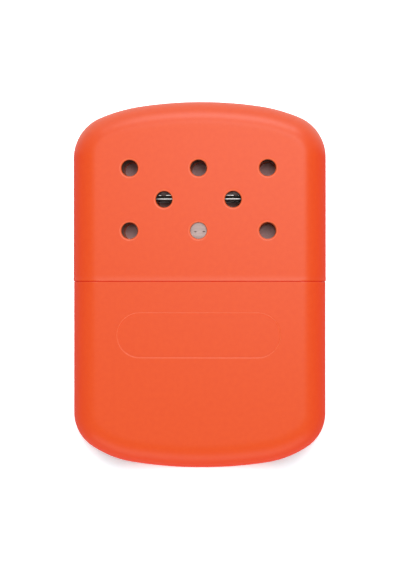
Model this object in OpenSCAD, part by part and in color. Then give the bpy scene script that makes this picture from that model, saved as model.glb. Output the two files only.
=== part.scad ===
// Catalytic hand warmer, lying on its back.
// X is its width, Y runs from the tank's closed end to the lid's closed end, Z is its thickness.
// The origin is on the back face, half way along the length. Heights (names ending in _h) are
// measured along Y from the tank's closed end. Sizes are in millimetres.

/* [Body] */
// Width of the tank
body_w = 68; // [66:0.5:72]
// Length of the closed warmer
body_len = 98.8; // [96:0.2:104]
// Thickness of the closed warmer
body_t = 13; // [12.6:0.1:14]
// Thickness of the drawn steel of tank and lid
wall = 0.5; // [0.4:0.05:0.6]
// Height of the tank's mouth
seam_h = 50.2; // [48:0.2:52]
// Gap between the tank's mouth and the lid's lip
seam_gap = 0.2; // [0.1:0.05:0.4]
// How far the lid's sides stand proud of the tank's
lid_proud = 0.1; // [0:0.05:0.15]

/* [Rounded ends] */
// Radius of the lid's corners
lid_corner_r = 11.6; // [10:0.2:13]
// Radius of the lid's shoulders
lid_shoulder_r = 44.7; // [38:0.5:50]
// Half the sweep of the lid's crown, in degrees
lid_crown_a = 8.5; // [7:0.5:11]
// Where the lid's shoulder meets its corner, in degrees from the crown's middle
lid_shoulder_a = 23; // [20:1:28]
// Radius of the tank's corners
tank_corner_r = 10.9; // [9:0.2:12]
// Radius of the tank's shoulders
tank_shoulder_r = 27.3; // [24:0.5:32]
// Half the sweep of the tank's crown, in degrees
tank_crown_a = 9; // [7:0.5:11]
// Where the tank's shoulder meets its corner, in degrees from the crown's middle
tank_shoulder_a = 34.2; // [30:1:38]

/* [Pressed panel] */
// Width of the blank panel in the tank's front
panel_w = 43.6; // [30:0.2:48]
// Height of the panel along Y
panel_len = 12; // [8:0.2:16]
// Depth of the panel
panel_depth = 0.2; // [0.1:0.05:0.25]
// Height of the panel's middle
panel_h = 35.9; // [30:0.1:40]

/* [Vent holes] */
// Diameter of a vent hole
vent_d = 4.5; // [4:0.1:5]
// Distance between the holes of one row
vent_pitch_x = 18.4; // [16:0.2:20]
// Distance between the rows
vent_pitch_y = 8.35; // [7.5:0.05:9]
// Height of the lowest row
vent_low_h = 63.8; // [63:0.2:66]

/* [Tank top] */
// How far the collar stands out of the tank's mouth
collar_len = 9.6; // [8:0.2:10.5]
// How far the skirt reaches down into the tank's mouth
skirt_len = 6; // [4:0.5:9]
// Thickness of the drawn steel of the tank's top
top_wall = 0.45; // [0.35:0.05:0.6]
// Clearance between the collar and the lid
collar_gap = 0.2; // [0.15:0.05:0.3]
// Clearance between the skirt and the tank's wall
skirt_gap = 0.05; // [0.02:0.01:0.1]
// Radius of the edge round the top
top_edge_r = 0.6; // [0.5:0.05:0.8]
// Radius of the friction dimples
dimple_r = 3; // [2:0.5:4]
// How far a dimple rises from the collar
dimple_rise = 0.12; // [0.05:0.01:0.14]
// Distance of a dimple from the middle
dimple_x = 20; // [14:1:24]

/* [Filler neck] */
// Width of the neck
neck_w = 22; // [19:0.5:24]
// Thickness of the neck from front to back
neck_t = 9.6; // [8.6:0.1:9.8]
// How far the neck stands up from the tank's top
neck_len = 6.6; // [5:0.2:7.4]
// Thickness of the neck's wall
neck_wall = 0.4; // [0.3:0.05:0.5]
// How far the foot flange reaches out under the tank's top
foot_reach = 0.3; // [0.2:0.05:0.4]
// Thickness of the foot flange
foot_t = 0.4; // [0.3:0.05:0.6]

/* [Wadding] */
// Thickness of the felt pad in the neck's foot
felt_t = 1.6; // [1:0.1:2]
// Clearance round the felt and the wadding
wad_gap = 0.3; // [0.2:0.05:0.5]
// Thickness along Y of the upper wad
upper_wad_len = 14; // [10:1:16]
// Thickness along Y of the middle wad
middle_wad_len = 16; // [12:1:18]

/* [Burner base] */
// Height of the base along Y
base_len = 8.4; // [7.8:0.1:9]
// Thickness of the burner's sheet
sheet = 0.4; // [0.3:0.05:0.5]
// Clearance between the neck and the base, front and back
grip_gap = 0.1; // [0.05:0.01:0.12]
// Room for a grip spring at each narrow end of the neck
spring_room = 0.7; // [0.6:0.05:0.9]
// Thickness of a grip spring
spring_t = 0.2; // [0.15:0.05:0.3]
// Width of a grip spring
spring_w = 3; // [2:0.5:4]
// Radius of the edge round the base's roof
base_edge_r = 0.8; // [0.5:0.1:1]
// Gap between the tank's top and the base's lower rim
rest_gap = 0.1; // [0.05:0.05:0.3]

/* [Burner head] */
// Width of the throat
throat_w = 13.6; // [10:0.2:14]
// Thickness of the throat from front to back
throat_t = 6.4; // [5:0.2:7]
// Distance from the base's roof to the tray
throat_len = 3.4; // [2.6:0.1:3.6]
// Distance of a throat rivet from the middle
rivet_x = 8.8; // [8.2:0.1:9.2]
// Diameter of a rivet's shank
rivet_d = 0.9; // [0.6:0.1:1]
// Diameter of a rivet's head
rivet_head_d = 1.7; // [1.4:0.1:2]
// Rise of a rivet's head
rivet_rise = 0.4; // [0.3:0.05:0.5]
// Margin of the throat's foot round the throat and its rivets
foot_margin = 0.5; // [0.4:0.05:0.6]
// Width of the head
head_w = 30; // [27:0.5:31]
// Thickness of the head from front to back
head_t = 8.4; // [8:0.1:9.4]
// Height of the head along Y
head_len = 5.7; // [5.4:0.1:6.2]
// Height of the tray's rim
tray_rim = 0.9; // [0.7:0.05:1]
// Gap between the tray's rim and the cover
head_gap = 0.85; // [0.7:0.05:1]
// Thickness of a bar, seen from the front
bar_t = 0.3; // [0.2:0.05:0.4]
// Distance of a cover lug from the middle
lug_x = 9.8; // [8:0.1:11]
// Width of a cover lug
lug_w = 2; // [1.4:0.1:2.4]
// How far a lug hangs below the cover
lug_drop = 0.4; // [0.3:0.05:0.5]
// Number of windows along one face of the cover
window_n = 6; // [4:1:8]
// Thickness of a wire screen
screen_t = 0.3; // [0.2:0.05:0.4]

/* [Hidden] */

$fn = 64;
// Overshoot of a cut past the face that it leaves through
cut = 0.5;
// Facets of the rounded ends and edges
corner_steps = 12;
shoulder_steps = 5;
crown_steps = 6;
edge_steps = 16;
half_w = body_w / 2;
mid_z = body_t / 2;
// Y of a height above the tank's closed end
function y_at(h) = h - body_len / 2;

// Both ends, as [corner radius, shoulder radius, crown angle, shoulder angle]
lid_end = [lid_corner_r, lid_shoulder_r, lid_crown_a, lid_shoulder_a];
tank_end = [tank_corner_r, tank_shoulder_r, tank_crown_a, tank_shoulder_a];

// The three arcs of half an end lie tangent to each other. Their centres are given in the plane of
// the body, with Y = 0 on the line through the two corner centres and the end towards +Y.
function corner_c(e) = [half_w - e[0], 0];
function shoulder_c(e) = corner_c(e) - (e[1] - e[0]) * [sin(e[3]), cos(e[3])];
function crown_r(e) = e[1] + shoulder_c(e)[0] / sin(e[2]);
function crown_c(e) = [0, shoulder_c(e)[1] - (crown_r(e) - e[1]) * cos(e[2])];
// Height of the rounded end above the corner centres
function end_rise(e) = crown_c(e)[1] + crown_r(e);
// The arcs of a whole end from right to left, as [centre, radius, first angle, sweep, steps]
function arcs(e) = [
    [corner_c(e), e[0], 0, 90 - e[3], corner_steps],
    [shoulder_c(e), e[1], 90 - e[3], e[3] - e[2], shoulder_steps],
    [crown_c(e), crown_r(e), 90 - e[2], 2 * e[2], crown_steps],
    [flip(shoulder_c(e)), e[1], 90 + e[2], e[3] - e[2], shoulder_steps],
    [flip(corner_c(e)), e[0], 90 + e[3], 90 - e[3], corner_steps]
];
function flip(p) = [-p[0], p[1]];
function polar(c, r, a) = c + r * [cos(a), sin(a)];

// Corner centres of the two ends, along Y
lid_corner_y = y_at(body_len - lid_proud - end_rise(lid_end));
tank_corner_y = y_at(end_rise(tank_end));
seam_y = y_at(seam_h);
lip_y = seam_y + seam_gap;

// Collar, tank top and neck
collar_inset = wall + collar_gap;
skirt_inset = wall + skirt_gap;
top_h = seam_h + collar_len;
top_y = y_at(top_h);
neck_top_y = top_y + neck_len;
neck_in_w = neck_w - 2 * neck_wall;
neck_in_t = neck_t - 2 * neck_wall;
foot_y = top_y - top_wall;
felt_y = foot_y - foot_t;
solder_gap = 0.02;

// Wads
wad_inset = wall + wad_gap;
upper_wad_y = felt_y - wad_gap;
middle_wad_y = upper_wad_y - upper_wad_len - wad_gap;
lower_wad_y = middle_wad_y - middle_wad_len - wad_gap;

// Burner base
base_in_w = neck_w + 2 * spring_room;
base_in_t = neck_t + 2 * grip_gap;
base_w = base_in_w + 2 * sheet;
base_t = base_in_t + 2 * sheet;
base_y = top_y + rest_gap;
roof_y = base_y + base_len;
spring_len = neck_len - 2 * rest_gap;

// Burner head
tray_y = roof_y + throat_len;
cover_y = tray_y + tray_rim + head_gap;
head_top_y = tray_y + head_len;
head_in_w = head_w - 2 * sheet;
head_in_t = head_t - 2 * sheet;
mat_gap = 0.1;
shank_gap = 0.03;
lug_t = 0.3;
lug_root = 1;
mat_w = head_in_w - 2 * mat_gap;
mat_t = head_in_t - 2 * mat_gap;
mat_y = tray_y + sheet + screen_t;
mat_top_y = head_top_y - sheet - screen_t;
wool_inset = 1.2;
cover_len = head_top_y - cover_y;
window_pitch = (head_w - head_t) / window_n;
window_w = 0.6 * window_pitch;
foot_top_y = roof_y + sheet;
throat_foot_w = 2 * rivet_x + rivet_head_d + 2 * foot_margin;
throat_foot_t = throat_t + 2 * foot_margin;

paint = "#f25f38";
steel = "#b9b6b2";
tinned = "#cfcac4";
cotton = "#ece6da";
soot = "#4a4441";

// Oblong with round ends, centred, w along X and t along Y
module oblong(w, t) {
    square([w - t, t], center = true);
    for (s = [-1, 1]) translate([s * (w - t) / 2, 0]) circle(d = t);
}

// Oblong bar or tube along Y, from y0 to y1, centred on the body's thickness
module oblong_bar(w, t, y0, y1) {
    translate([0, y1, mid_z]) rotate([90, 0, 0]) linear_extrude(y1 - y0) oblong(w, t);
}

// Points of an end's outline towards +Y, drawn in by inset, with straight sides down to -side
function outline(e, inset, side) = concat(
    [[half_w - inset, -side]],
    [for (q = arcs(e), i = [0:q[4] - 1]) polar(q[0], q[1] - inset, q[2] + q[3] * i / q[4])],
    [[inset - half_w, 0], [inset - half_w, -side]]
);

// Solid of one end towards +Y with full-round edges, its skin drawn in by skin from the outside.
// proud lets the sides stand out without a change in thickness. The corner centres are at Y = 0.
module end_solid(e, skin, proud, side) {
    r = mid_z - skin;
    rings = [for (k = [0:edge_steps]) let (a = 180 * k / edge_steps - 90)
        [for (p = outline(e, mid_z - proud - r * cos(a), side)) [p[0], p[1], mid_z + r * sin(a)]]];
    n = len(rings[0]);
    around = [for (k = [0:edge_steps - 1], i = [0:n - 1]) let (j = (i + 1) % n)
        [k * n + i, (k + 1) * n + i, (k + 1) * n + j, k * n + j]];
    back = [for (i = [0:n - 1]) i];
    front = [for (i = [1:n]) len(rings) * n - i];
    polyhedron([for (ring = rings, p = ring) p], concat(around, [back, front]));
}

// Shell of one end, open at -side
module end_shell(e, proud, side) {
    difference() {
        end_solid(e, 0, proud, side);
        end_solid(e, wall, proud, side + cut);
    }
}

// Bar along Y like oblong_bar, with its upper edge rounded by r
module domed_bar(w, t, y0, y1, r) {
    translate([0, 0, mid_z]) {
        for (s = [0, 1])
            mirror([s, 0, 0]) translate([(w - t) / 2, 0, 0])
                rotate([-90, 0, 0]) rotate([0, 0, -90]) rotate_extrude(angle = 180)
                    dome_profile(t / 2, y0, y1, r, 0);
        rotate([0, 90, 0]) linear_extrude(w - t, center = true)
            dome_profile(t / 2, y0, y1, r, t / 2);
    }
}

// Section of a domed bar: from -left to half, with rounded upper corners
module dome_profile(half, y0, y1, r, left) {
    translate([-left, y0]) square([half + left, y1 - r - y0]);
    translate([-max(left - r, 0), y0]) square([half - r + max(left - r, 0), y1 - y0]);
    translate([half - r, y1 - r]) circle(r = r);
    if (left > 0) translate([r - left, y1 - r]) circle(r = r);
}

// Straight way along Z through the lid's front and back at every vent hole
module vents() {
    for (row = [0:2]) {
        n = row == 1 ? 2 : 3;
        for (i = [0:n - 1])
            translate([(i - (n - 1) / 2) * vent_pitch_x, y_at(vent_low_h + row * vent_pitch_y), -cut])
                cylinder(d = vent_d, h = body_t + 2 * cut);
    }
}

module tank_shell() {
    color(paint) difference() {
        translate([0, tank_corner_y, 0]) mirror([0, 1, 0])
            end_shell(tank_end, 0, seam_y - tank_corner_y);
        translate([0, y_at(panel_h), body_t - panel_depth]) linear_extrude(cut)
            oblong(panel_w, panel_len);
    }
}

module lid_shell() {
    color(paint) difference() {
        translate([0, lid_corner_y, 0]) end_shell(lid_end, lid_proud, lid_corner_y - lip_y);
        vents();
    }
}

module tank_top() {
    top_w = body_w - 2 * collar_inset;
    top_t = body_t - 2 * collar_inset;
    color(tinned) difference() {
        union() {
            domed_bar(top_w, top_t, seam_y - cut, top_y, top_edge_r);
            oblong_bar(body_w - 2 * skirt_inset, body_t - 2 * skirt_inset, seam_y - skirt_len, seam_y);
            dimples(top_t);
        }
        oblong_bar(top_w - 2 * top_wall, top_t - 2 * top_wall, seam_y - skirt_len - cut, foot_y);
        oblong_bar(neck_w + 2 * solder_gap, neck_t + 2 * solder_gap, foot_y - cut, top_y + cut);
    }
}

// Friction dimples on the front and the back of the collar
module dimples(top_t) {
    for (sx = [-1, 1], sz = [-1, 1])
        translate([sx * dimple_x, (seam_y + top_y) / 2, mid_z + sz * (top_t / 2 - dimple_r + dimple_rise)])
            sphere(r = dimple_r);
}

module filler_neck() {
    color(steel) difference() {
        union() {
            oblong_bar(neck_w, neck_t, foot_y, neck_top_y);
            oblong_bar(neck_w + 2 * foot_reach, neck_t + 2 * foot_reach, felt_y, foot_y);
        }
        oblong_bar(neck_in_w, neck_in_t, felt_y - cut, neck_top_y + cut);
    }
}

module wick_felt() {
    color(cotton) oblong_bar(neck_in_w - 2 * wad_gap, neck_in_t - 2 * wad_gap, felt_y, felt_y + felt_t);
}

// Wad across the straight part of the tank, from y0 to y1
module straight_wad(y0, y1) {
    inset = skirt_inset + top_wall + wad_gap;
    oblong_bar(body_w - 2 * inset, body_t - 2 * inset, y0, y1);
}

module upper_wadding() {
    color(cotton) straight_wad(upper_wad_y - upper_wad_len, upper_wad_y);
}

module middle_wadding() {
    color(cotton) straight_wad(middle_wad_y - middle_wad_len, middle_wad_y);
}

module lower_wadding() {
    color(cotton) translate([0, tank_corner_y, 0]) mirror([0, 1, 0])
        end_solid(tank_end, wad_inset, 0, lower_wad_y - tank_corner_y);
}

module burner_base() {
    color(steel) difference() {
        domed_bar(base_w, base_t, base_y, roof_y, base_edge_r);
        oblong_bar(base_in_w, base_in_t, base_y - cut, roof_y - sheet);
        oblong_bar(throat_w - 2 * sheet, throat_t - 2 * sheet, base_y, roof_y + cut);
        rivet_pair(roof_y - sheet - cut, roof_y + cut, rivet_d / 2 + shank_gap);
    }
}

// Pair of straight shanks or holes along Y, one on either side of the throat
module rivet_pair(y0, y1, r) {
    for (s = [-1, 1])
        translate([s * rivet_x, y0, mid_z]) rotate([-90, 0, 0]) cylinder(r = r, h = y1 - y0);
}

module grip_springs() {
    spring_x = neck_w / 2 + (spring_room - spring_t) / 3;
    color(steel) for (s = [0, 1])
        mirror([s, 0, 0]) translate([spring_x, base_y + rest_gap, mid_z - spring_w / 2])
            cube([spring_t, spring_len, spring_w]);
}

module burner_throat() {
    color(steel) difference() {
        union() {
            oblong_bar(throat_w, throat_t, roof_y, tray_y);
            oblong_bar(throat_foot_w, throat_foot_t, roof_y, foot_top_y);
        }
        oblong_bar(throat_w - 2 * sheet, throat_t - 2 * sheet, roof_y - cut, tray_y + cut);
        rivet_pair(roof_y - cut, foot_top_y + cut, rivet_d / 2 + shank_gap);
    }
}

module throat_rivets() {
    color(tinned) {
        rivet_pair(roof_y - sheet, foot_top_y, rivet_d / 2);
        for (s = [-1, 1]) {
            translate([s * rivet_x, foot_top_y, mid_z]) rotate([-90, 0, 0]) rivet_head();
            translate([s * rivet_x, roof_y - sheet, mid_z]) rotate([90, 0, 0]) rivet_head();
        }
    }
}

// Domed head of a rivet, standing up along Z
module rivet_head() {
    ball_r = (pow(rivet_head_d / 2, 2) + pow(rivet_rise, 2)) / (2 * rivet_rise);
    intersection() {
        translate([0, 0, rivet_rise - ball_r]) sphere(r = ball_r);
        cylinder(d = 2 * rivet_head_d, h = 2 * rivet_rise);
    }
}

module burner_tray() {
    color(steel) difference() {
        oblong_bar(head_w, head_t, tray_y, tray_y + tray_rim);
        oblong_bar(head_in_w, head_in_t, tray_y + sheet, tray_y + tray_rim + cut);
        oblong_bar(throat_w - 2 * sheet, throat_t - 2 * sheet, tray_y - cut, tray_y + sheet + cut);
    }
}

// Bar along one long side of the head, on the lower edge of the cover
module head_bar(side) {
    translate([0, cover_y - bar_t, mid_z + side * head_t / 2 - (side > 0 ? sheet : 0)])
        translate([(head_t - head_w) / 2, 0, 0]) cube([head_w - head_t, bar_t, sheet]);
}

module front_bar() { color(tinned) head_bar(1); }

module back_bar() { color(tinned) head_bar(-1); }

module tray_screen() {
    color(steel) oblong_bar(mat_w, mat_t, tray_y + sheet, mat_y);
}

module catalyst_wool() {
    color(cotton) oblong_bar(mat_w - 2 * wool_inset, mat_t - 2 * wool_inset, mat_y, mat_top_y - wool_inset);
}

module catalyst_mat() {
    color(soot) difference() {
        oblong_bar(mat_w, mat_t, mat_y, mat_top_y);
        oblong_bar(mat_w - 2 * wool_inset, mat_t - 2 * wool_inset, mat_y - cut, mat_top_y - wool_inset);
    }
}

module burner_cover() {
    color(steel) difference() {
        union() {
            domed_bar(head_w, head_t, cover_y, head_top_y, sheet);
            lugs();
        }
        oblong_bar(head_in_w, head_in_t, tray_y - cut, head_top_y - sheet);
        oblong_bar(head_in_w - 2 * sheet, head_in_t - 2 * sheet, cover_y, head_top_y + cut);
        windows();
    }
}

// Round-ended lugs that hang from the cover, in front of its bar
module lugs() {
    for (sx = [-1, 1], sz = [0, 1])
        translate([sx * lug_x, cover_y, mid_z]) mirror([0, 0, sz]) translate([0, 0, head_t / 2]) {
            linear_extrude(lug_t) {
                translate([0, lug_w / 2 - lug_drop]) circle(d = lug_w);
                translate([-lug_w / 2, lug_w / 2 - lug_drop])
                    square([lug_w, lug_root - lug_w / 2 + lug_drop]);
            }
            translate([-lug_w / 2, 0, -sheet / 2]) cube([lug_w, lug_root, sheet / 2 + lug_t]);
        }
}

// Row of windows through the cover's front and back
module windows() {
    for (i = [0:window_n - 1])
        translate([(i - (window_n - 1) / 2) * window_pitch - window_w / 2, cover_y + 2 * sheet,
                   mid_z - head_t])
            cube([window_w, cover_len - 4 * sheet, 2 * head_t]);
}

module cover_screen() {
    color(steel) oblong_bar(mat_w, mat_t, mat_top_y, mat_top_y + screen_t);
}

tank_shell();
tank_top();
filler_neck();
wick_felt();
upper_wadding();
middle_wadding();
lower_wadding();
burner_base();
grip_springs();
burner_throat();
throat_rivets();
burner_tray();
front_bar();
back_bar();
tray_screen();
catalyst_wool();
catalyst_mat();
burner_cover();
cover_screen();
lid_shell();
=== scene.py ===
import math

import bmesh
import bpy
from mathutils import Matrix, Vector


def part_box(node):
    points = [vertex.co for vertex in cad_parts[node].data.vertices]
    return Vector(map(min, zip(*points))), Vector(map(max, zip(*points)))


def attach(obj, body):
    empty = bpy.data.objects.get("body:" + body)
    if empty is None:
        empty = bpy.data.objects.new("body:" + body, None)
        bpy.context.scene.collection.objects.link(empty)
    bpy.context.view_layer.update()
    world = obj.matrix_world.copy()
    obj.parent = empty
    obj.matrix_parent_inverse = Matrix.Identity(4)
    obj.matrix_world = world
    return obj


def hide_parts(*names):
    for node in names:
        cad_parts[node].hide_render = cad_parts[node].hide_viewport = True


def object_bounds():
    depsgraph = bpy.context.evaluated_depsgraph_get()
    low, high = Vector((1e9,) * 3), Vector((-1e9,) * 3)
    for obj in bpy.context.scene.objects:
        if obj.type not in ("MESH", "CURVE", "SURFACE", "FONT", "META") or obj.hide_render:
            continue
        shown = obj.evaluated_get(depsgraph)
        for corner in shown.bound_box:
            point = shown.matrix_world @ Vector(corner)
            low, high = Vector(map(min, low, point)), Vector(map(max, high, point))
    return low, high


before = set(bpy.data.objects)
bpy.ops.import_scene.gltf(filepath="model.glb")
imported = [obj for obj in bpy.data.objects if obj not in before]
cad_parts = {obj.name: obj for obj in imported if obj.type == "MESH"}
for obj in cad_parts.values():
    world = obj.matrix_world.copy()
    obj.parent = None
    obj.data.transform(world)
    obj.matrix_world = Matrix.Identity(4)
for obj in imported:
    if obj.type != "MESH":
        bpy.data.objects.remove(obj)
cad_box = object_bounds()
scene = bpy.context.scene

# Camera: it looks straight down on the front face of the warmer, which lies on its back with the
# lid's end up in the picture. It hangs a little to the right of the middle, as the view into the
# vent holes shows, and is turned so that the warmer stays in the middle of the picture.
body_low, body_high = cad_box
body_mid = (body_low + body_high) / 2
camera_height = 0.395
camera_right = 0.016
aim_shift = Vector((0.00015, -0.0001, 0))
picture_height = 0.1541
camera = bpy.data.objects.new("camera", bpy.data.cameras.new("camera"))
scene.collection.objects.link(camera)
camera.location = body_mid + Vector((camera_right, 0, camera_height))
look = body_mid + aim_shift - camera.location
camera.rotation_euler = (math.atan2(look.y, -look.z), math.atan2(-look.x, -look.z), 0)
camera.data.sensor_width = 36
camera.data.lens = camera.data.sensor_width * camera_height / picture_height
camera.data.clip_start = 0.01
camera.data.clip_end = 10
scene.camera = camera

# Studio: a soft lamp high overhead, one beyond the lid's end that lights the warmer from the top of
# the picture, a long low one beyond the tank's end, and a pale room that the camera, metal and
# glass see as white.
room_light, room_seen = 0.5, 1
scene.view_settings.view_transform = "Standard"


def soft_lamp(name, place, size, power):
    """A rectangular lamp that faces the warmer, its size in metres and its power in watts."""
    lamp = bpy.data.objects.new(name, bpy.data.lights.new(name, "AREA"))
    lamp.data.shape = "RECTANGLE"
    lamp.data.size, lamp.data.size_y = size
    lamp.data.energy = power
    lamp.location = place
    lamp.rotation_euler = (body_mid - lamp.location).to_track_quat("-Z", "Y").to_euler()
    scene.collection.objects.link(lamp)


soft_lamp("high_lamp", Vector((0.06, 0.15, 0.7)), (0.35, 0.25), 1.5)
soft_lamp("far_lamp", Vector((0.04, 0.45, 0.42)), (0.42, 0.22), 1.05)
soft_lamp("near_lamp", Vector((0, -0.55, 0.2)), (0.9, 0.3), 1.35)


def feed(tree, given, socket):
    """Feeds a socket from the output of another node, or gives it a plain value."""
    if isinstance(given, bpy.types.NodeSocket):
        tree.links.new(given, socket)
    else:
        socket.default_value = given


def worked_out(tree, operation, first, second=None):
    """The result of a sum on one or two masks or numbers."""
    node = tree.nodes.new("ShaderNodeMath")
    node.operation = operation
    feed(tree, first, node.inputs[0])
    if second is not None:
        feed(tree, second, node.inputs[1])
    return node.outputs[0]


def ramped(tree, value, start, end, low=0, high=1):
    """Maps a value that runs from start to end to a mask that runs from low to high."""
    node = tree.nodes.new("ShaderNodeMapRange")
    feed(tree, value, node.inputs["Value"])
    for name, number in (("From Min", start), ("From Max", end), ("To Min", low), ("To Max", high)):
        node.inputs[name].default_value = number
    return node.outputs["Result"]


def seen_by_eye(tree):
    """A mask of what the camera sees, directly, through glass and in metal."""
    rays = tree.nodes.new("ShaderNodeLightPath").outputs
    mask = rays["Is Camera Ray"]
    for way in ("Is Transmission Ray", "Is Glossy Ray"):
        mask = worked_out(tree, "MAXIMUM", mask, rays[way])
    return mask


scene.world = bpy.data.worlds.new("room")
scene.world.use_nodes = True
tree = scene.world.node_tree
tree.nodes.clear()
glow = tree.nodes.new("ShaderNodeBackground")
glow.inputs["Color"].default_value = (1, 1, 1, 1)
feed(tree, ramped(tree, seen_by_eye(tree), 0, 1, room_light, room_seen), glow.inputs["Strength"])
tree.links.new(glow.outputs[0], tree.nodes.new("ShaderNodeOutputWorld").inputs["Surface"])

# Floor: a wide white board under the warmer. To the camera it is painted brighter than white paint,
# so that it meets the white of the room and washes out the warmer's shadow, but less so beside the
# tank's two lower corners, where its shadow shows. Closed in on all sides, as behind the vent
# holes, it is painted a warm tone that stands in for light bounced off the warmer.
board_reach = 3
board_drop = 0.00006
plain_white, mirrored_white = (0.8, 0.8, 0.8, 1), (1, 1, 1, 1)
painted_bounce_white, shadow_white = (1.42, 0.82, 0.78, 1), (1.05, 1.27, 1.32, 1)
open_white = (2.2, 2.3, 2.35, 1)
closing_reach = 0.03
closed_in, open_wide = 0.1, 0.4
shadow_place = (0.023, body_low.y + 0.004, 0)
shadow_full, shadow_gone = 0.004, 0.022


def blended(tree, factor, first, second):
    """The colour that runs from the first to the second as factor runs from 0 to 1."""
    node = tree.nodes.new("ShaderNodeMix")
    node.data_type = "RGBA"
    feed(tree, factor, node.inputs["Factor"])
    feed(tree, first, node.inputs["A"])
    feed(tree, second, node.inputs["B"])
    return node.outputs["Result"]


bm = bmesh.new()
bmesh.ops.create_grid(bm, x_segments=1, y_segments=1, size=board_reach)
bmesh.ops.translate(bm, verts=bm.verts, vec=(0, 0, body_low.z - board_drop))
floor = bpy.data.objects.new("floor", bpy.data.meshes.new("floor"))
bm.to_mesh(floor.data)
bm.free()
scene.collection.objects.link(floor)
board = bpy.data.materials.new("white_board")
board.use_nodes = True
tree = board.node_tree
tree.nodes.clear()
openness = tree.nodes.new("ShaderNodeAmbientOcclusion")
openness.samples = 8
openness.inputs["Distance"].default_value = closing_reach
place = tree.nodes.new("ShaderNodeSeparateXYZ")
tree.links.new(tree.nodes.new("ShaderNodeTexCoord").outputs["Object"], place.inputs[0])
folded = tree.nodes.new("ShaderNodeCombineXYZ")
feed(tree, worked_out(tree, "ABSOLUTE", place.outputs["X"]), folded.inputs["X"])
feed(tree, place.outputs["Y"], folded.inputs["Y"])
away = tree.nodes.new("ShaderNodeVectorMath")
away.operation = "DISTANCE"
feed(tree, folded.outputs[0], away.inputs[0])
feed(tree, shadow_place, away.inputs[1])
# Painted light and shade: away from the tank's lower corners the board is painted so bright that
# the warmer's shadow is washed out, and where it is closed in it is painted a warm tone for bounced
# light.
beside = blended(tree, ramped(tree, away.outputs["Value"], shadow_full, shadow_gone),
                 shadow_white, open_white)
seen = blended(tree, ramped(tree, openness.outputs["AO"], closed_in, open_wide), painted_bounce_white, beside)
tone = blended(tree, seen_by_eye(tree), plain_white, mirrored_white)
straight = tree.nodes.new("ShaderNodeLightPath").outputs["Is Camera Ray"]
matt = tree.nodes.new("ShaderNodeBsdfDiffuse")
feed(tree, blended(tree, straight, tone, seen), matt.inputs["Color"])
tree.links.new(matt.outputs[0], tree.nodes.new("ShaderNodeOutputMaterial").inputs["Surface"])
floor.data.materials.append(board)

# Tank shell: the lower half of the warmer, one cup deep-drawn from steel sheet, with full-round
# edges and an open mouth. It is powder coated orange outside and bare inside. A blank oblong panel
# is pressed into its front.
MM = 0.001
tank_low, tank_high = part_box("tank_shell")
half_t = (tank_high.z - tank_low.z) / 2
mid_z = (tank_high.z + tank_low.z) / 2
half_w = tank_high.x
wall = 0.5 * MM
edge_core = half_w - half_t
flat_margin = 0.7 * MM
edge_cuts, corner_cuts, shoulder_cuts, crown_cuts = 28, 22, 10, 18
mouth_rows = (0.35 * MM, 0.4 * MM, 0.4 * MM, 0.6 * MM)
join_gap = 0.002 * MM
level_gap = 0.005 * MM
tank_end = {"corner": 10.9 * MM, "shoulder": 27.3 * MM, "crown_a": 9.0, "shoulder_a": 34.2}


def end_arcs(end):
    """The five arcs of a rounded end towards +Y, from its right side to its left: each one's
    centre, radius, sweep and cuts. The corner centres lie at Y = 0."""
    crown_a, shoulder_a = math.radians(end["crown_a"]), math.radians(end["shoulder_a"])
    corner = Vector((half_w - end["corner"], 0, 0))
    inward = Vector((math.sin(shoulder_a), math.cos(shoulder_a), 0))
    shoulder = corner - (end["shoulder"] - end["corner"]) * inward
    crown_r = end["shoulder"] + shoulder.x / math.sin(crown_a)
    crown = Vector((0, shoulder.y - (crown_r - end["shoulder"]) * math.cos(crown_a), 0))
    right = [(corner, end["corner"], math.pi / 2 - shoulder_a, corner_cuts),
             (shoulder, end["shoulder"], shoulder_a - crown_a, shoulder_cuts)]
    left = [(Vector((-c.x, c.y, 0)), r, sweep, cuts) for c, r, sweep, cuts in reversed(right)]
    return right + [(crown, crown_r, 2 * crown_a, crown_cuts)] + left


def end_rise(end):
    """How far a rounded end rises above its corner centres."""
    crown, radius = end_arcs(end)[2][:2]
    return crown.y + radius


def draw(bm, geom, vec):
    """Draws a section straight along vec and gives its far end."""
    return bmesh.ops.spin(bm, geom=geom, cent=(0, 0, 0), axis=(0, 0, 1), dvec=vec, angle=0,
                          steps=1, use_duplicate=False)["geom_last"]


def turn(bm, geom, centre, axis, angle, steps):
    """Spins a section about an axis through centre and gives its far end."""
    return bmesh.ops.spin(bm, geom=geom, cent=centre, axis=axis, dvec=(0, 0, 0), angle=angle,
                          steps=steps, use_duplicate=False)["geom_last"]


def end_skin(end, mouth_y, corner_y, proud, skin=0):
    """The outer skin of a shell with its rounded end towards +Y. The section of its full-round edge
    is drawn along one side, spun round the five arcs and drawn back along the other side. skin is
    how far it lies inside the full thickness."""
    bm = bmesh.new()
    tip = bm.verts.new((edge_core + proud - flat_margin, mouth_y, mid_z + half_t - skin))
    chain = draw(bm, [tip], (flat_margin, 0, 0))
    chain = turn(bm, chain, (edge_core + proud, mouth_y, mid_z), (0, 1, 0), math.pi, edge_cuts)
    draw(bm, chain, (-flat_margin, 0, 0))
    geom = list(bm.verts) + list(bm.edges)
    for row in mouth_rows:
        geom = draw(bm, geom, (0, row, 0))
    geom = draw(bm, geom, (0, corner_y - mouth_y - sum(mouth_rows), 0))
    for centre, _, sweep, cuts in end_arcs(end):
        geom = turn(bm, geom, centre + Vector((0, corner_y, 0)), (0, 0, 1), sweep, cuts)
    geom = draw(bm, geom, (0, mouth_y - corner_y + sum(mouth_rows), 0))
    for row in reversed(mouth_rows):
        geom = draw(bm, geom, (0, -row, 0))
    return bm


def at(value, target):
    """Whether a coordinate lies at a level, but for rounding."""
    return abs(value - target) < level_gap


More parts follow.
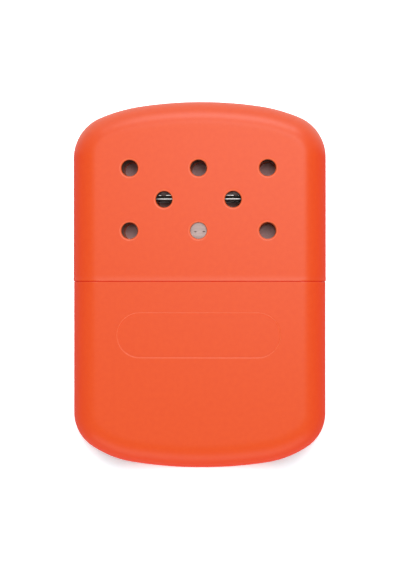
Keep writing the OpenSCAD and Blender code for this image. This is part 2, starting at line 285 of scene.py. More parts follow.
def fill_flat(bm, z, mouth_y, spare=()):
    """Closes the open flat face of a skin at height z, round every ring that already lies in it.
    A few rows at the mouth come first. spare lists the edges that stay open."""
    y = mouth_y
    for row in mouth_rows:
        rim = [v for e in bm.edges if e.is_boundary for v in e.verts if at(v.co.z, z)]
        corners = [min([v for v in rim if at(v.co.y, level) and v.co.x * side > 0],
                       key=lambda v: abs(v.co.x)) for level in (y, y + row) for side in (1, -1)]
        bmesh.ops.contextual_create(bm, geom=corners)
        y += row
    loops = [e for e in bm.edges if e.is_boundary and e not in spare
             and all(at(v.co.z, z) and v.co.y > y - 2 * level_gap for v in e.verts)]
    bmesh.ops.triangle_fill(bm, edges=loops, use_beauty=True, use_dissolve=False)


def piece_from(name, bm, *materials):
    """Turns a bmesh into a smooth piece with outward faces."""
    bmesh.ops.remove_doubles(bm, verts=bm.verts, dist=join_gap)
    bmesh.ops.recalc_face_normals(bm, faces=bm.faces)
    piece = bpy.data.objects.new(name, bpy.data.meshes.new(name))
    bm.to_mesh(piece.data)
    bm.free()
    piece.data.shade_smooth()
    for material in materials:
        piece.data.materials.append(material)
    scene.collection.objects.link(piece)
    return piece


def sheet_metal(piece, thickness, edge_round, inside=0):
    """Gives an outer skin its wall, rounds the wall's edges and keeps the flat faces flat. inside
    says how many slots further on the inner skin's material lies."""
    wall_of = piece.modifiers.new("wall", "SOLIDIFY")
    wall_of.thickness = thickness
    wall_of.offset = -1
    wall_of.material_offset = inside
    edges = piece.modifiers.new("edges", "BEVEL")
    edges.width = edge_round
    edges.segments = 3
    edges.limit_method = "ANGLE"
    edges.angle_limit = math.radians(50)
    shading = piece.modifiers.new("shading", "WEIGHTED_NORMAL")
    shading.weight = 50


grain_depth = 0.1 * MM


def grain_group():
    """Shared surface grain: a coarse and a fine noise on the piece's own coordinates, stretched as
    asked. It gives a mask of the coarse noise, a mask of the fine one and a bumped normal."""
    group = bpy.data.node_groups.new("surface_grain", "ShaderNodeTree")
    for name, default in (("Coarse size", 4.0), ("Fine size", 0.2), ("Stretch X", 1.0),
                          ("Stretch Y", 1.0), ("Coarse bump", 0.1), ("Fine bump", 0.1)):
        socket = group.interface.new_socket(name, in_out="INPUT", socket_type="NodeSocketFloat")
        socket.default_value = default
    group.interface.new_socket("Coarse", in_out="OUTPUT", socket_type="NodeSocketFloat")
    group.interface.new_socket("Fine", in_out="OUTPUT", socket_type="NodeSocketFloat")
    group.interface.new_socket("Normal", in_out="OUTPUT", socket_type="NodeSocketVector")
    nodes, links = group.nodes, group.links
    given = nodes.new("NodeGroupInput")
    made = nodes.new("NodeGroupOutput")
    place = nodes.new("ShaderNodeTexCoord")
    stretch = nodes.new("ShaderNodeCombineXYZ")
    stretch.inputs["Z"].default_value = 1
    links.new(given.outputs["Stretch X"], stretch.inputs["X"])
    links.new(given.outputs["Stretch Y"], stretch.inputs["Y"])
    stretched = nodes.new("ShaderNodeVectorMath")
    stretched.operation = "MULTIPLY"
    links.new(place.outputs["Object"], stretched.inputs[0])
    links.new(stretch.outputs[0], stretched.inputs[1])
    normal = None
    for name, detail in (("Coarse", 3), ("Fine", 2)):
        scale = nodes.new("ShaderNodeMath")
        scale.operation = "DIVIDE"
        scale.inputs[0].default_value = 1 / MM
        links.new(given.outputs[name + " size"], scale.inputs[1])
        pattern = nodes.new("ShaderNodeTexNoise")
        pattern.inputs["Detail"].default_value = detail
        links.new(stretched.outputs[0], pattern.inputs["Vector"])
        links.new(scale.outputs[0], pattern.inputs["Scale"])
        bump = nodes.new("ShaderNodeBump")
        bump.inputs["Distance"].default_value = grain_depth
        links.new(given.outputs[name + " bump"], bump.inputs["Strength"])
        links.new(pattern.outputs["Fac"], bump.inputs["Height"])
        if normal:
            links.new(normal, bump.inputs["Normal"])
        normal = bump.outputs["Normal"]
        links.new(pattern.outputs["Fac"], made.inputs[name])
    links.new(normal, made.inputs["Normal"])
    return group


grain = grain_group()


def spread(tree, mask, low, high):
    """Maps a noise mask, most of which lies between 0.3 and 0.7, to low to high."""
    return ramped(tree, mask, 0.3, 0.7, low, high)


def shader_of(material):
    """The material's own shader, on which plain values are set."""
    return material.node_tree.nodes["Principled BSDF"]


def grained(name, dark, light, roughness, metallic=0.0, **grain_values):
    """A material whose colour runs from dark to light with the coarse grain and whose roughness
    follows the fine one."""
    material = bpy.data.materials.new(name)
    material.use_nodes = True
    tree = material.node_tree
    shader = shader_of(material)
    shader.inputs["Metallic"].default_value = metallic
    surface = tree.nodes.new("ShaderNodeGroup")
    surface.node_tree = grain
    for key, value in grain_values.items():
        surface.inputs[key.replace("_", " ")].default_value = value
    colour = blended(tree, spread(tree, surface.outputs["Coarse"], 0, 1), (*dark, 1), (*light, 1))
    feed(tree, colour, shader.inputs["Base Color"])
    feed(tree, spread(tree, surface.outputs["Fine"], *roughness), shader.inputs["Roughness"])
    feed(tree, surface.outputs["Normal"], shader.inputs["Normal"])
    return material


# The powder coat has a faint orange peel about 1 mm across and a finer tooth on it. Towards the
# rounded edges it is painted deeper in colour and made less shiny, as painted shade, but not at the
# lid's end, where it stays light and is made to shine more, as a painted highlight. On the edges of
# pierced and pressed shapes it is painted lighter, as a painted highlight.
edge_highlight_paint = grained("edge_highlight_powder_coat", (0.88, 0.12, 0.03), (0.90, 0.14, 0.04), (0.36, 0.42),
                     Coarse_size=1.3, Fine_size=0.16, Coarse_bump=0.03, Fine_bump=0.02)
paint = grained("orange_powder_coat", (0.80, 0.070, 0.001), (0.82, 0.078, 0.002), (0.35, 0.41),
                Coarse_size=1.3, Fine_size=0.16, Coarse_bump=0.05, Fine_bump=0.03)
edge_shade_orange = (0.93, 0.030, 0.004, 1)
flat_shine, edge_shine, end_shine = 0.4, 0.05, 0.42
tree = paint.node_tree
shader = shader_of(paint)
# Painted shade and highlight, set by the way each face turns: deeper orange and less shine on the
# rounded edges, more shine on faces towards the lid's end.
turned = tree.nodes.new("ShaderNodeSeparateXYZ")
tree.links.new(tree.nodes.new("ShaderNodeTexCoord").outputs["Normal"], turned.inputs[0])
off_end = ramped(tree, turned.outputs["Y"], 0, 0.5, 1, 0)
steep = worked_out(tree, "SUBTRACT", 1, worked_out(tree, "ABSOLUTE", turned.outputs["Z"]))
rounded = worked_out(tree, "MULTIPLY", steep, off_end)
shine = worked_out(tree, "ADD", ramped(tree, rounded, 0, 0.6, flat_shine, edge_shine),
                   ramped(tree, off_end, 0, 1, end_shine, 0))
shader.inputs["Specular IOR Level"].default_value = flat_shine
feed(tree, shine, shader.inputs["Specular IOR Level"])
plain_orange = shader.inputs["Base Color"].links[0].from_socket
painted_edge_shade = blended(tree, worked_out(tree, "POWER", rounded, 0.8), plain_orange, edge_shade_orange)
feed(tree, painted_edge_shade, shader.inputs["Base Color"])
inner_steel = grained("bare_drawn_steel", (0.50, 0.24, 0.19), (0.62, 0.33, 0.27), (0.45, 0.65),
                      metallic=0.3, Coarse_size=1.5, Fine_size=0.3, Stretch_Y=0.15,
                      Coarse_bump=0.08, Fine_bump=0.1)

# The panel's wall slopes softly from the flat front to the panel's floor.
panel_middle = Vector((0, -13.5 * MM, mid_z + half_t))
panel_reach = 15.8 * MM
panel_half = 6.0 * MM
panel_depth = 0.2 * MM
panel_slope = 0.3 * MM
slope_cuts = 8


def sweep_oblong(bm, geom, reach, centre, axis, runs=None, cuts=24):
    """Draws a section round an oblong whose straight sides run along X: straight on, half a turn,
    straight back and half a turn. The section starts at the left end of a straight side. runs
    lists the steps of a straight side where a detail needs its own cuts."""
    angle = math.pi if axis.y else -math.pi
    for side in (1, -1):
        for run in (runs or (2 * reach,))[::side]:
            geom = draw(bm, geom, (run * side, 0, 0))
        geom = turn(bm, geom, centre + Vector((reach * side, 0, 0)), axis, angle, cuts)
    bmesh.ops.remove_doubles(bm, verts=bm.verts, dist=join_gap)


def press_panel(bm):
    """Sinks the panel into the flat face at panel_middle, with a wall that sets in softly."""
    section = []
    for i in range(-1, slope_cuts + 2):
        across = panel_half + panel_slope * (0.5 - i / slope_cuts)
        part = min(max(i / slope_cuts, 0), 1)
        sink = panel_depth * (0.5 - 0.5 * math.cos(math.pi * part))
        section.append(bm.verts.new(panel_middle + Vector((-panel_reach, across, -sink))))
    edges = [bm.edges.new(pair) for pair in zip(section, section[1:])]
    sweep_oblong(bm, section + edges, panel_reach, panel_middle, Vector((0, 0, 1)))
    floor_z = panel_middle.z - panel_depth
    rim = [e for e in bm.edges if e.is_boundary and all(at(v.co.z, floor_z) for v in e.verts)]
    bmesh.ops.triangle_fill(bm, edges=rim, use_beauty=True, use_dissolve=False)


corner_y = -tank_low.y - end_rise(tank_end)
mouth_y = -tank_high.y
bm = end_skin(tank_end, mouth_y, corner_y, 0)
bmesh.ops.scale(bm, vec=(1, -1, 1), verts=bm.verts)
press_panel(bm)
bmesh.ops.scale(bm, vec=(1, -1, 1), verts=bm.verts)
for z in (mid_z + half_t, mid_z - half_t):
    fill_flat(bm, z, mouth_y)
bmesh.ops.scale(bm, vec=(1, -1, 1), verts=bm.verts)
# Painted highlight: the panel's sloping wall takes the lighter edge paint.
for f in bm.faces:
    middle = f.calc_center_median()
    slope = panel_middle.z - panel_depth + level_gap < middle.z < panel_middle.z - level_gap
    on_edge = slope and abs(middle.y - panel_middle.y) < panel_half + panel_slope and (
        abs(middle.x) < panel_reach + panel_half + panel_slope)
    f.material_index = 2 if on_edge else 0
tank_shell = piece_from("tank_shell_drawn", bm, paint, inner_steel, edge_highlight_paint, inner_steel)
sheet_metal(tank_shell, wall, 0.22 * MM, inside=1)
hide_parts("tank_shell")
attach(tank_shell, "tank")

# Lid shell: the upper half, drawn from the same sheet and coated the same way. Eight vent holes are
# pierced through its front and eight through its back, and its lip is turned out very slightly.
lid_low, lid_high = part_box("lid_shell")
lid_end = {"corner": 11.6 * MM, "shoulder": 44.7 * MM, "crown_a": 8.5, "shoulder_a": 23.0}
lid_proud = lid_high.x - half_w
vent_r = 2.2 * MM
vent_ring = 0.75 * MM
lip_round = 0.48 * MM
vent_pitch = (18.4 * MM, 8.35 * MM)
vent_low_y = 14.4 * MM
lip_flare = 0.07 * MM
vent_cuts, lip_cuts = 48, 6
vents = [Vector(((i - (n - 1) / 2) * vent_pitch[0], vent_low_y + row * vent_pitch[1], 0))
         for row, n in enumerate((3, 2, 3)) for i in range(n)]

lid_corner_y = lid_high.y - lid_proud - end_rise(lid_end)
lip_y = lid_low.y
bm = end_skin(lid_end, lip_y, lid_corner_y, lid_proud)
open_edges = set()
for z in (mid_z + half_t, mid_z - half_t):
    for vent in vents:
        side = math.copysign(1, z - mid_z)
        lip = [(vent_r + lip_round * (1 - math.cos(a)), -side * lip_round * (1 - math.sin(a)))
               for a in (math.pi / 2 * i / lip_cuts for i in range(lip_cuts + 1))]
        lip += [(vent_r + vent_ring, 0)]
        rings = [set(bmesh.ops.create_circle(
            bm, segments=vent_cuts, radius=r,
            matrix=Matrix.Translation(vent + Vector((0, 0, z + sink))))["verts"])
            for r, sink in lip]
        circles = [[e for e in bm.edges if e.verts[0] in ring and e.verts[1] in ring]
                   for ring in rings]
        for inner, outer in zip(circles, circles[1:]):
            bmesh.ops.bridge_loops(bm, edges=inner + outer)
        open_edges.update(circles[0])
    fill_flat(bm, z, lip_y, open_edges)
bm.normal_update()
for v in bm.verts:
    above = (v.co.y - lip_y) / sum(mouth_rows)
    if above < 1:
        outward = Vector((v.normal.x, 0, v.normal.z)).normalized()
        outward *= 1 if outward.dot(Vector((v.co.x, 0, v.co.z - mid_z))) > 0 else -1
        v.co += outward * lip_flare * (1 - above) ** 2
# Painted highlight: the lips round the vent holes take the lighter edge paint.
for f in bm.faces:
    middle = f.calc_center_median()
    near = min(math.hypot(middle.x - v.x, middle.y - v.y) for v in vents)
    f.material_index = 2 if near < vent_r + lip_round else 0
lid_shell = piece_from("lid_shell_drawn", bm, paint, inner_steel, edge_highlight_paint, inner_steel)
sheet_metal(lid_shell, wall, 0.13 * MM, inside=1)
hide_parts("lid_shell")
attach(lid_shell, "lid")

# Tank top: a drawn closure, tinned all over. Its skirt is pressed into the tank's mouth, the lid
# slides over its collar, and four small dimples pressed out of the collar hold the lid. A thin bead
# round the collar's root fills the seam, and the root and the bead are painted a dark red that
# stands in for the shade in the seam.
collar_w, collar_t, collar_edge, top_wall = 66.6, 11.6, 0.6, 0.45
skirt_out, skirt_lead = 0.15, 0.4
dimple_x, dimple_y, dimple_reach, dimple_rise = 20, 5.6, 1.15, 0.12
dimple_cuts, cut_margin = 16, 1.1
seam_shade_to, seam_bead_y, seam_bead_reach, seam_bead_out, seam_bead_bulge = 1.6, 0.9, 0.09, 0.58, 0.03


def oblong_of(node):
    """Width, thickness, lower and upper Y of a CAD node in millimetres."""
    low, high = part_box(node)
    return tuple(value / MM for value in (high.x - low.x, high.z - low.z, low.y, high.y))


def arc(inset, y, radius, start, end, cuts=6):
    """Points of a rounded edge in a section about (inset, y), its angles in degrees."""
    angles = [math.radians(start + (end - start) * i / cuts) for i in range(cuts + 1)]
    return [(inset + radius * math.cos(a), y + radius * math.sin(a)) for a in angles]


def oblong_skin(bm, w, t, section, runs=None, closed=False):
    """Draws a section round an upright oblong of width w and thickness t. The section's points are
    (inset from the oblong, Y). All sizes are in millimetres."""
    verts = [bm.verts.new((-(w - t) / 2 * MM, y * MM, mid_z + (t / 2 - inset) * MM))
             for inset, y in section]
    edges = [bm.edges.new(pair) for pair in zip(verts, verts[1:] + verts[:1] * closed)]
    sweep_oblong(bm, verts + edges, (w - t) / 2 * MM, Vector((0, 0, mid_z)), Vector((0, 1, 0)),
                 runs and [run * MM for run in runs])


def fill_level(bm, y):
    """Closes the flat face at height y between all the open rings that lie in it."""
    rings = [e for e in bm.edges
             if len(e.link_faces) < 2 and all(at(v.co.y, y * MM) for v in e.verts)]
    bmesh.ops.triangle_fill(bm, edges=rings, use_beauty=True, use_dissolve=False)


def dent(bm, x, y, face_z, reach, rise):
    """Presses a round or oblong dent of the given reach into a flat front or back face. A rise
    below zero sinks it."""
    for v in bm.verts:
        if at(v.co.z, mid_z + face_z * MM):
            away = math.hypot((v.co.x / MM - x) / reach[0], (v.co.y / MM - y) / reach[1])
            if away < 1:
                v.co.z += math.copysign(rise, face_z) * MM * (0.5 + 0.5 * math.cos(math.pi * away))


def row_of_cuts(middle, reach, cuts):
    """Heights of the cuts across a detail that reaches as far to either side of its middle."""
    return [middle + reach * (2 * i / cuts - 1) for i in range(cuts + 1)]


def soft_edges(piece, width, segments=3):
    """Rounds the edges of a solid and keeps its flat faces flat."""
    edges = piece.modifiers.new("edges", "BEVEL")
    edges.width = width * MM
    edges.segments = segments
    edges.limit_method = "ANGLE"
    edges.angle_limit = math.radians(40)
    piece.modifiers.new("shading", "WEIGHTED_NORMAL")


neck_flange = 0.3
neck_w, neck_t, foot_y, rim_y = oblong_of("filler_neck")
neck_w -= 2 * neck_flange
neck_t -= 2 * neck_flange
skirt_y, top_y = oblong_of("tank_top")[2:]
bm = bmesh.new()
rows = row_of_cuts(dimple_y, dimple_reach * cut_margin, dimple_cuts)
skirt = [(0, skirt_y), (-0.1, skirt_y + 0.1), (-skirt_out, skirt_y + skirt_lead),
         (-skirt_out, skirt_lead), (-0.11, 0.6), (0, 0.8), (0, 1.5)]
crest = arc(collar_edge, top_y - collar_edge, collar_edge, 180, 90) + [(1, top_y)]
half_run = (collar_w - collar_t) / 2
fine = [2 * dimple_reach * cut_margin / dimple_cuts] * dimple_cuts
side_run = half_run - dimple_x - sum(fine) / 2
oblong_skin(bm, collar_w, collar_t, skirt + [(0, y) for y in rows] + crest,
            [side_run] + fine + [2 * (dimple_x - sum(fine) / 2)] + fine + [side_run])
for side in (-1, 1):
    for face_z in (-collar_t / 2, collar_t / 2):
        dent(bm, side * dimple_x, dimple_y, face_z, (dimple_reach, dimple_reach), dimple_rise)
oblong_skin(bm, neck_w, neck_t, [(-0.03, top_y - 0.3), (-0.03, top_y - 0.12), (-0.1, top_y - 0.03),
                                 (-0.2, top_y)])
fill_level(bm, top_y)
tinned = grained("tinned_steel", (0.34, 0.34, 0.33), (0.42, 0.42, 0.41), (0.42, 0.54),
                 metallic=1.0, Coarse_size=2.0, Fine_size=0.12, Stretch_Y=0.08,
                 Coarse_bump=0.03, Fine_bump=0.1)
seam_shade_paint = grained("seam_shade_powder_coat", (0.76, 0.014, 0.002), (0.82, 0.018, 0.003),
                      (0.6, 0.7), Coarse_size=1.3, Fine_size=0.16, Coarse_bump=0.05,
                      Fine_bump=0.03)
shader_of(seam_shade_paint).inputs["Specular IOR Level"].default_value = 0.1
seam_bead_low, seam_bead_high = seam_bead_y - seam_bead_reach, seam_bead_y + seam_bead_reach
seam_bead = [(0, seam_bead_low), (-seam_bead_out, seam_bead_low), (-seam_bead_out - seam_bead_bulge, seam_bead_y),
             (-seam_bead_out, seam_bead_high), (0, seam_bead_high)]
oblong_skin(bm, collar_w, collar_t, seam_bead, closed=True)
# Painted shade: the collar's root and the bead take the dark red of the shaded seam.
for f in bm.faces:
    f.material_index = 1 if 0 < f.calc_center_median().y / MM < seam_shade_to else 0
tank_top = piece_from("tank_top_drawn", bm, tinned, seam_shade_paint)
sheet_metal(tank_top, top_wall * MM, 0.1 * MM)
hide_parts("tank_top")
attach(tank_top, "tank")

# Filler neck: an oblong steel tube with a foot flange under the tank's top and a full-round rim. A
# thin fillet of solder runs round it on the top.
neck_wall, flange_t = 0.4, 0.4
rim_r = neck_wall / 2
bm = bmesh.new()
oblong_skin(bm, neck_w, neck_t, [(-neck_flange, foot_y), (-neck_flange, foot_y + flange_t),
                                 (0, foot_y + flange_t)]
            + arc(rim_r, rim_y - rim_r, rim_r, 180, 0, 8) + [(neck_wall, foot_y)], closed=True)
neck_steel = grained("neck_steel", (0.36, 0.34, 0.32), (0.45, 0.43, 0.41), (0.40, 0.52),
                     metallic=1.0, Coarse_size=2.0, Fine_size=0.15, Stretch_X=0.08,
                     Coarse_bump=0.05, Fine_bump=0.1)
neck = piece_from("filler_neck_tube", bm, neck_steel)
soft_edges(neck, 0.08)
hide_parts("filler_neck")
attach(neck, "tank")

bm = bmesh.new()
oblong_skin(bm, neck_w, neck_t, [(0, top_y + 0.3), (-0.06, top_y + 0.12), (-0.25, top_y + 0.05),
                                 (-0.5, top_y + 0.01), (-0.5, top_y - 0.05), (0.05, top_y - 0.05),
                                 (0.05, top_y + 0.3)], closed=True)
solder = grained("solder", (0.30, 0.30, 0.30), (0.42, 0.42, 0.41), (0.35, 0.55), metallic=1.0,
                 Coarse_size=0.8, Fine_size=0.2, Coarse_bump=0.4, Fine_bump=0.1)
fillet = piece_from("neck_solder", bm, solder)
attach(fillet, "tank")

# Fuel wadding: a felt pad in the neck's foot and three wads of cotton that fill the tank below it.
# They are soft closed forms with a fibrous, slightly uneven skin.


def fibrous(piece, voxel, lump, rise):
    """Gives a soft piece an even mesh with lumps and hollows, its sizes in millimetres."""
    even = piece.modifiers.new("even", "REMESH")
    even.mode = "VOXEL"
    even.voxel_size = voxel * MM
    even.use_smooth_shade = True
    lumps = bpy.data.textures.new(piece.name + "_lumps", "CLOUDS")
    lumps.noise_scale = lump * MM
    lumps.noise_depth = 2
    uneven = piece.modifiers.new("uneven", "DISPLACE")
    uneven.texture = lumps
    uneven.texture_coords = "LOCAL"
    uneven.strength = rise * MM
    uneven.mid_level = 0.75


def soft_section(t, y0, y1, edge):
    """Section of a closed soft form with rounded edges, from its lower middle to its upper one."""
    return ([(t / 2, y0)] + arc(edge, y0 + edge, edge, 270, 180, 4)
            + arc(edge, y1 - edge, edge, 180, 90, 4) + [(t / 2, y1)])


def fibre_material(name, dark, light, size):
    """A matt fibrous material: long streaks over short fuzz, with a soft sheen."""
    material = grained(name, dark, light, (0.85, 1.0), Coarse_size=size, Fine_size=size / 6,
                       Stretch_X=0.35, Coarse_bump=1.0, Fine_bump=0.9)
    shader = shader_of(material)
    shader.inputs["Specular IOR Level"].default_value = 0.15
    shader.inputs["Sheen Weight"].default_value = 0.3
    return material


felt = fibre_material("wick_felt", (0.62, 0.56, 0.46), (0.82, 0.77, 0.68), 0.9)
cotton = fibre_material("cotton_wadding", (0.70, 0.67, 0.61), (0.88, 0.86, 0.82), 1.6)
for node, edge, voxel in (("wick_felt", 0.35, 0.2), ("upper_wadding", 1.5, 0.5),
                          ("middle_wadding", 1.5, 0.5)):
    w, t, y0, y1 = oblong_of(node)
    bm = bmesh.new()
    oblong_skin(bm, w, t, soft_section(t, y0, y1, edge))
    pad = piece_from(node + "_pad", bm, felt if node == "wick_felt" else cotton)
    fibrous(pad, voxel, edge, edge * 0.2)
    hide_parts(node)
    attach(pad, "tank")

wad_y = oblong_of("lower_wadding")[3]
wad_inset = 0.9 * MM
bm = end_skin(tank_end, -wad_y * MM, corner_y, 0, wad_inset)
for z in (mid_z + half_t - wad_inset, mid_z - half_t + wad_inset):
    fill_flat(bm, z, -wad_y * MM)
bmesh.ops.scale(bm, vec=(1, -1, 1), verts=bm.verts)
fill_level(bm, wad_y)
lower_wad = piece_from("lower_wadding_pad", bm, cotton)
fibrous(lower_wad, 0.5, 1.5, 0.3)
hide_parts("lower_wadding")
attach(lower_wad, "tank")

# Burner base: a stamped oblong collar of satin steel that grips the neck. Two small nicks from the
# stamping lie side by side in its front.
sheet = 0.4
base_w, base_t, base_y, roof_y = oblong_of("burner_base")
throat_w, throat_t = 13.6, 6.4
base_edge = 0.8
nick_places, nick_y, nick_reach, nick_depth = (-0.85, 1.4), 14.15, (0.42, 0.13), 0.3
nick_cuts = 38
bm = bmesh.new()
rows = row_of_cuts(nick_y, nick_reach[1] * 1.25, 8)
left_edge = nick_places[0] - 2 * nick_reach[0]
fine = [nick_reach[0] / 4] * nick_cuts
half_run = (base_w - base_t) / 2
oblong_skin(bm, base_w, base_t, [(0, base_y)] + [(0, y) for y in rows]
            + arc(base_edge, roof_y - base_edge, base_edge, 180, 90) + [(1.0, roof_y)],
            [half_run + left_edge] + fine + [half_run - left_edge - sum(fine)])
for x in nick_places:
    dent(bm, x, nick_y, base_t / 2, nick_reach, -nick_depth)
oblong_skin(bm, throat_w - 2 * sheet, throat_t - 2 * sheet, [(0, roof_y - 0.2), (0, roof_y)])
fill_level(bm, roof_y)
burner_steel = grained("satin_burner_steel", (0.31, 0.235, 0.22), (0.38, 0.295, 0.275),
                       (0.48, 0.58), metallic=1.0, Coarse_size=2.0, Fine_size=0.12,
                       Stretch_X=0.06, Coarse_bump=0.04, Fine_bump=0.12)
base = piece_from("burner_base_stamped", bm, burner_steel)
sheet_metal(base, sheet * MM, 0.1 * MM)
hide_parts("burner_base")
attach(base, "burner")

# Grip springs: two thin leaves of blued spring steel, bowed towards the neck's narrow ends.
spring_low, spring_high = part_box("grip_springs")
spring_t = 0.2 * MM
spring_bow = 0.16 * MM
bm = bmesh.new()
for side in (-1, 1):
    length = spring_high.y - spring_low.y
    leaf = bmesh.ops.create_grid(bm, x_segments=24, y_segments=2, size=0.5)["verts"]
    for v in leaf:
        along, across = v.co.x, v.co.y
        bow = spring_bow * (4 * along * along - 0.5)
        v.co = Vector((side * (spring_high.x - spring_t / 2 + bow),
                       (spring_low.y + spring_high.y) / 2 + along * length,
                       mid_z + across * (spring_high.z - spring_low.z)))
blued = grained("blued_spring_steel", (0.20, 0.21, 0.25), (0.34, 0.34, 0.38), (0.25, 0.4),
                metallic=1.0, Coarse_size=1.5, Fine_size=0.15, Stretch_Y=0.1, Coarse_bump=0.04,
                Fine_bump=0.08)
springs = piece_from("grip_spring_leaves", bm, blued)
leaf_wall = springs.modifiers.new("wall", "SOLIDIFY")
leaf_wall.thickness = spring_t
leaf_wall.offset = 0
soft_edges(springs, 0.06)
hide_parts("grip_springs")
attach(springs, "burner")

# Burner throat: a short drawn tube with a foot, which leads the vapour from the base to the head.
# Two domed rivets hold its foot on the base.
foot_w, foot_t, throat_y, tray_y = oblong_of("burner_throat")
foot_top = throat_y + sheet
root, throat_wall = 0.3, 0.38
bm = bmesh.new()
oblong_skin(bm, foot_w, foot_t, [(0.02, foot_top - 0.15), (0, foot_top - 0.05), (0.05, foot_top)])
oblong_skin(bm, throat_w, throat_t,
            arc(-root, foot_top + root, root, 270, 360, 4) + [(0, tray_y)])
fill_level(bm, foot_top)
throat = piece_from("burner_throat_drawn", bm, burner_steel)
sheet_metal(throat, throat_wall * MM, 0.06 * MM)
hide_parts("burner_throat")
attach(throat, "burner")

rivet_x, rivet_head_r, rivet_rise, shank_r = 8.8, 0.85, 0.4, 0.45
dome_cuts = 8
under_roof = roof_y - sheet
ball_r = (rivet_head_r ** 2 + rivet_rise ** 2) / (2 * rivet_rise)
dome = [(r, math.sqrt(ball_r ** 2 - r ** 2) - ball_r + rivet_rise)
        for r in (rivet_head_r * i / dome_cuts for i in range(dome_cuts + 1))]
outline = ([(r, foot_top + rise) for r, rise in dome] + [(shank_r, foot_top), (shank_r, under_roof)]
           + [(r, under_roof - rise) for r, rise in reversed(dome)])
bm = bmesh.new()
for side in (-1, 1):
    verts = [bm.verts.new((side * rivet_x * MM + r * MM, y * MM, mid_z)) for r, y in outline]
    edges = [bm.edges.new(pair) for pair in zip(verts, verts[1:])]
    bmesh.ops.spin(bm, geom=verts + edges, cent=(side * rivet_x * MM, 0, mid_z), axis=(0, 1, 0),
                   dvec=(0, 0, 0), angle=2 * math.pi, steps=32, use_merge=True, use_duplicate=False)
rivets = piece_from("throat_rivets_domed", bm, neck_steel)
soft_edges(rivets, 0.05)
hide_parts("throat_rivets")
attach(rivets, "burner")

# Burner head: a shallow drawn tray on the throat, bare below and near-black up to the bright bead
# that is rolled round its rim. The near-black is heat tint and also painted shade, for the dark
# line under the bead.
head_w, head_t, tray_y, tray_top = oblong_of("burner_tray")
tray_inset, tray_edge, bare_rise, bead_r = 0.3, 0.4, 0.12, 0.26
bm = bmesh.new()
oblong_skin(bm, head_w, head_t, [(tray_inset, tray_top - 0.1), (tray_inset, tray_y + tray_edge)]
            + arc(tray_inset + tray_edge, tray_y + tray_edge, tray_edge, 180, 270)
            + [(1.0, tray_y)])
oblong_skin(bm, throat_w - 2 * sheet, throat_t - 2 * sheet, [(0, tray_y + 0.2), (0, tray_y)])
fill_level(bm, tray_y)
tray_steel = grained("tray_steel", (0.84, 0.76, 0.74), (0.92, 0.84, 0.82), (0.06, 0.10),
                     metallic=1.0, Coarse_size=2.0, Fine_size=0.12, Stretch_X=0.1,
                     Coarse_bump=0.02, Fine_bump=0.05)
# Near-black steel: heat tint, and painted shade for the dark parts seen through the vent holes.
heat_and_shade_steel = grained("heat_and_shade_dark_steel", (0.030, 0.020, 0.020), (0.085, 0.060, 0.056),
                     (0.35, 0.55), metallic=1.0, Coarse_size=2.2, Fine_size=0.14,
                     Stretch_X=0.2, Coarse_bump=0.05, Fine_bump=0.1)
for f in bm.faces:
    f.material_index = 1 if f.calc_center_median().y < (tray_y + bare_rise) * MM else 0
tray = piece_from("burner_tray_drawn", bm, heat_and_shade_steel, tray_steel)
sheet_metal(tray, sheet * MM, 0.12 * MM)
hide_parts("burner_tray")
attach(tray, "burner")

bm = bmesh.new()
oblong_skin(bm, head_w, head_t, arc(bead_r, tray_top - bead_r, bead_r, 0, 330, 11), closed=True)
bright_steel = grained("bright_steel", (0.52, 0.49, 0.48), (0.64, 0.61, 0.59), (0.28, 0.4),
                       metallic=1.0, Coarse_size=1.6, Fine_size=0.12, Stretch_X=0.06,
                       Coarse_bump=0.02, Fine_bump=0.04)
bead = piece_from("tray_bead", bm, bright_steel)
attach(bead, "burner")

# Bars: a thin bright bar along each long side of the head, over the gap through which the vapour
# meets the air. Its lower edge is trimmed a little.
bar_trim = 0.04 * MM
for node in ("front_bar", "back_bar"):
    low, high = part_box(node)
    low.y += bar_trim
    bm = bmesh.new()
    bmesh.ops.create_cube(bm, size=1)
    bmesh.ops.scale(bm, vec=high - low, verts=bm.verts)
    bmesh.ops.translate(bm, vec=(low + high) / 2, verts=bm.verts)
    bar = piece_from(node + "_rounded", bm, bright_steel)
    soft_edges(bar, 0.1, 4)
    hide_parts(node)
    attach(bar, "burner")

# Wire screens: plain woven steel wire, one under the catalyst mat and one over it, each with a
# hoop round its edge.
wire_r, wire_pitch = 0.08, 0.8


def wire_run(curve, start, end, phase):
    """One wire of a weave from start to end, waving over and under the wires that it crosses."""
    start, end = Vector(start), Vector(end)
    steps = max(2, round((end - start).length / wire_pitch * 3))
    spline = curve.splines.new("POLY")
    spline.points.add(steps)
    for i, point in enumerate(spline.points):
        place = start.lerp(end, i / steps)
        wave = math.sin(math.pi * ((place - start).length / wire_pitch + phase))
        point.co = (*(place + Vector((0, wire_r * wave, 0))) * MM, 1)


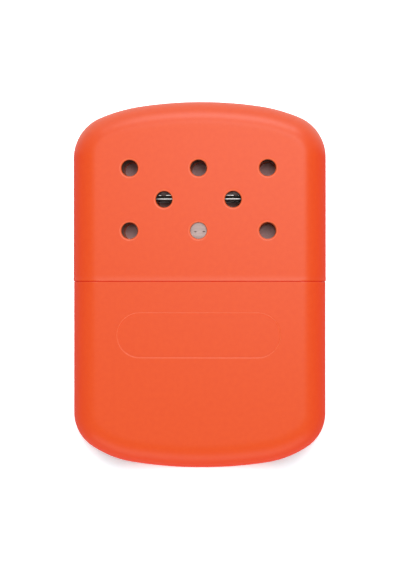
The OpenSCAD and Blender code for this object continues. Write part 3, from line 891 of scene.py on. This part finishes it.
wire_steel = grained("screen_wire", (0.34, 0.32, 0.30), (0.52, 0.50, 0.47), (0.3, 0.5),
                     metallic=1.0, Coarse_size=0.8, Fine_size=0.1, Coarse_bump=0.1,
                     Fine_bump=0.1)
for node in ("tray_screen", "cover_screen"):
    w, t, y0, y1 = oblong_of(node)
    y, z = (y0 + y1) / 2, mid_z / MM
    curve = bpy.data.curves.new(node, "CURVE")
    curve.dimensions = "3D"
    curve.bevel_depth = wire_r * MM
    curve.bevel_resolution = 1
    radius = t / 2 - wire_r
    rows = int(radius / wire_pitch)
    for k in range(-rows, rows + 1):
        reach = (w - t) / 2 + math.sqrt(radius ** 2 - (k * wire_pitch) ** 2)
        height = z + k * wire_pitch
        wire_run(curve, (-reach, y, height), (reach, y, height), k - reach / wire_pitch + 0.5)
    columns = int((w / 2 - 2 * wire_r) / wire_pitch)
    for k in range(-columns, columns + 1):
        past = max(0, abs(k * wire_pitch) - (w - t) / 2)
        reach = math.sqrt(radius ** 2 - past ** 2)
        across = k * wire_pitch
        wire_run(curve, (across, y, z - reach), (across, y, z + reach),
                 k - reach / wire_pitch - 0.5)
    drawn = bpy.data.objects.new(node, curve)
    bm = bmesh.new()
    bm.from_mesh(drawn.to_mesh())
    hoop = [(wire_r * (1 + math.cos(a)), y + wire_r * math.sin(a))
            for a in (math.pi * k / 3 for k in range(6))]
    oblong_skin(bm, w, t, hoop, closed=True)
    bpy.data.objects.remove(drawn)
    screen = piece_from(node + "_woven", bm, wire_steel)
    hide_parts(node)
    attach(screen, "burner")

# Catalyst: a core of white glass wool wrapped in a dark mat of glass fibre that carries the
# catalyst. Both are soft.
wool = fibre_material("glass_wool", (0.60, 0.60, 0.57), (0.82, 0.82, 0.80), 0.8)
mat = fibre_material("catalyst_mat", (0.028, 0.025, 0.024), (0.075, 0.068, 0.064), 0.7)
for node, material, slot, edge in (("catalyst_wool", wool, "glass_wool", 0.8),
                                   ("catalyst_mat", mat, "catalyst", 0.5)):
    w, t, y0, y1 = oblong_of(node)
    bm = bmesh.new()
    oblong_skin(bm, w, t, soft_section(t, y0, y1, edge))
    pad = piece_from(node + "_pad", bm, material)
    fibrous(pad, 0.22, 0.6, 0.16)
    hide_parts(node)
    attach(pad, "burner")

# Burner cover: a stamped steel frame with six windows in its front and six in its back, near-black
# from heat tint and from painted shade. Four round-ended lugs of the same near-black steel hang
# from its lower edge, in front of the bars and behind them.
window_n, window_part, window_round, cover_edge = 6, 0.6, 0.35, 0.4
lug_y, cover_top = oblong_of("burner_cover")[2:]
cover_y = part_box("front_bar")[1].y / MM
window_pitch = (head_w - head_t) / window_n
window_w = window_part * window_pitch
window_low, window_high = cover_y + 2 * sheet, cover_top - 2 * sheet
gap_w = window_pitch - window_w
runs = [gap_w / 2] + [window_w, gap_w] * (window_n - 1) + [window_w, gap_w / 2]
bm = bmesh.new()
oblong_skin(bm, head_w, head_t, [(0, cover_y), (0, window_low), (0, window_high)]
            + arc(cover_edge, cover_top - cover_edge, cover_edge, 180, 90) + [(0.8, cover_top)],
            runs)
panes = [f for f in bm.faces if at(f.calc_center_median().y, (window_low + window_high) / 2 * MM)
         and abs(f.normal.z) > 0.99
         and abs((f.calc_center_median().x / MM / window_pitch) % 1 - 0.5) < 0.1]
corners = [v for v in bm.verts if any(f in panes for f in v.link_faces)]
bmesh.ops.delete(bm, geom=panes, context="FACES_ONLY")
bmesh.ops.bevel(bm, geom=corners, offset=window_round * MM, segments=4, profile=0.5,
                affect="VERTICES", material=-1)
cover = piece_from("burner_cover_stamped", bm, heat_and_shade_steel)
sheet_metal(cover, sheet * MM, 0.08 * MM)
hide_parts("burner_cover")
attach(cover, "burner")

lug_places, lug_r, lug_t, lug_root = (-9.4, 10.0), 0.9, 0.3, 1.0
bm = bmesh.new()
for lug_x in lug_places:
    for face in (-1, 1):
        z = mid_z + face * (head_t / 2 + lug_t / 2) * MM
        tip = bm.verts.new(((lug_x - lug_r) * MM, (cover_y + lug_root) * MM, z))
        drop = (lug_y + lug_r - cover_y - lug_root) * MM
        end = draw(bm, [tip], (0, drop, 0))
        middle = (lug_x * MM, (lug_y + lug_r) * MM, z)
        end = turn(bm, end, middle, (0, 0, 1), math.pi, 16)
        draw(bm, end, (0, -drop, 0))
        ring = [v for v in bm.verts if at(v.co.z, z) and v.co.x * lug_x > 0]
        bmesh.ops.contextual_create(bm, geom=ring)
lugs = piece_from("cover_lugs", bm, heat_and_shade_steel)
lug_wall = lugs.modifiers.new("wall", "SOLIDIFY")
lug_wall.thickness = lug_t * MM
lug_wall.offset = 0
soft_edges(lugs, 0.08)
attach(lugs, "burner")
